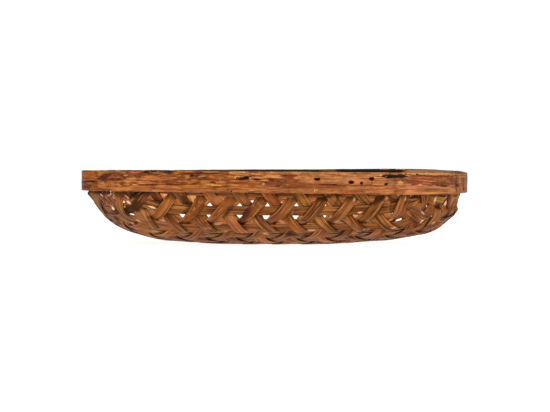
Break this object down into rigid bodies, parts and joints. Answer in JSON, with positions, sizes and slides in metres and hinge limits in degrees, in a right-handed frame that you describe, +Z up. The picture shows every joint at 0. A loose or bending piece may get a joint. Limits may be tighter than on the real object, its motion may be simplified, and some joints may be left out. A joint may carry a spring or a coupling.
{
  "type": "bamboo tray",
  "caption": "Shallow rounded-rectangular basket tray, woven from flat bamboo splints in three directions and clamped between bent bamboo rim bands.",
  "frame": {"origin": "under the middle of the tray, on the surface it stands on", "axes": "+X along the tray's length, +Y across it from the front to the back, +Z up out of the tray's mouth"},
  "size_m": [0.56, 0.373, 0.1075],
  "materials": {
    "splint_light": "aged satin bamboo skin, light brown",
    "splint_mid": "aged satin bamboo skin, mid brown",
    "splint_dark": "aged satin bamboo inner face, brown",
    "rim": "varnished orange-brown bamboo with burn marks and wormholes",
    "nail": "small rusted iron nails"
  },
  "bodies": {
    "root": {"long_splint_01": "splint_dark", "long_splint_02": "splint_dark", "long_splint_03": "splint_dark", "long_splint_04": "splint_dark", "long_splint_05": "splint_dark", "long_splint_06": "splint_dark", "long_splint_07": "splint_dark", "long_splint_08": "splint_dark", "long_splint_09": "splint_dark", "long_splint_10": "splint_dark", "long_splint_11": "splint_dark", "long_splint_12": "splint_dark", "long_splint_13": "splint_dark", "long_splint_14": "splint_dark", "long_splint_15": "splint_dark", "right_leaning_splint_01": "splint_light", "right_leaning_splint_02": "splint_light", "right_leaning_splint_03": "splint_light", "right_leaning_splint_04": "splint_light", "right_leaning_splint_05": "splint_light", "right_leaning_splint_06": "splint_light", "right_leaning_splint_07": "splint_light", "right_leaning_splint_08": "splint_light", "right_leaning_splint_09": "splint_light", "right_leaning_splint_10": "splint_light", "right_leaning_splint_11": "splint_light", "right_leaning_splint_12": "splint_light", "right_leaning_splint_13": "splint_light", "right_leaning_splint_14": "splint_light", "right_leaning_splint_15": "splint_light", "right_leaning_splint_16": "splint_light", "right_leaning_splint_17": "splint_light", "left_leaning_splint_01": "splint_mid", "left_leaning_splint_02": "splint_mid", "left_leaning_splint_03": "splint_mid", "left_leaning_splint_04": "splint_mid", "left_leaning_splint_05": "splint_mid", "left_leaning_splint_06": "splint_mid", "left_leaning_splint_07": "splint_mid", "left_leaning_splint_08": "splint_mid", "left_leaning_splint_09": "splint_mid", "left_leaning_splint_10": "splint_mid", "left_leaning_splint_11": "splint_mid", "left_leaning_splint_12": "splint_mid", "left_leaning_splint_13": "splint_mid", "left_leaning_splint_14": "splint_mid", "left_leaning_splint_15": "splint_mid", "left_leaning_splint_16": "splint_mid", "left_leaning_splint_17": "splint_mid", "outer_rim_front": "rim", "outer_rim_back": "rim", "inner_rim": "rim", "right_lap_nail_1": "nail", "right_lap_nail_2": "nail", "left_lap_nail_1": "nail", "left_lap_nail_2": "nail", "front_rim_nail_1": "nail", "front_rim_nail_2": "nail", "back_rim_nail_1": "nail", "back_rim_nail_2": "nail"}
  },
  "joints": []
}
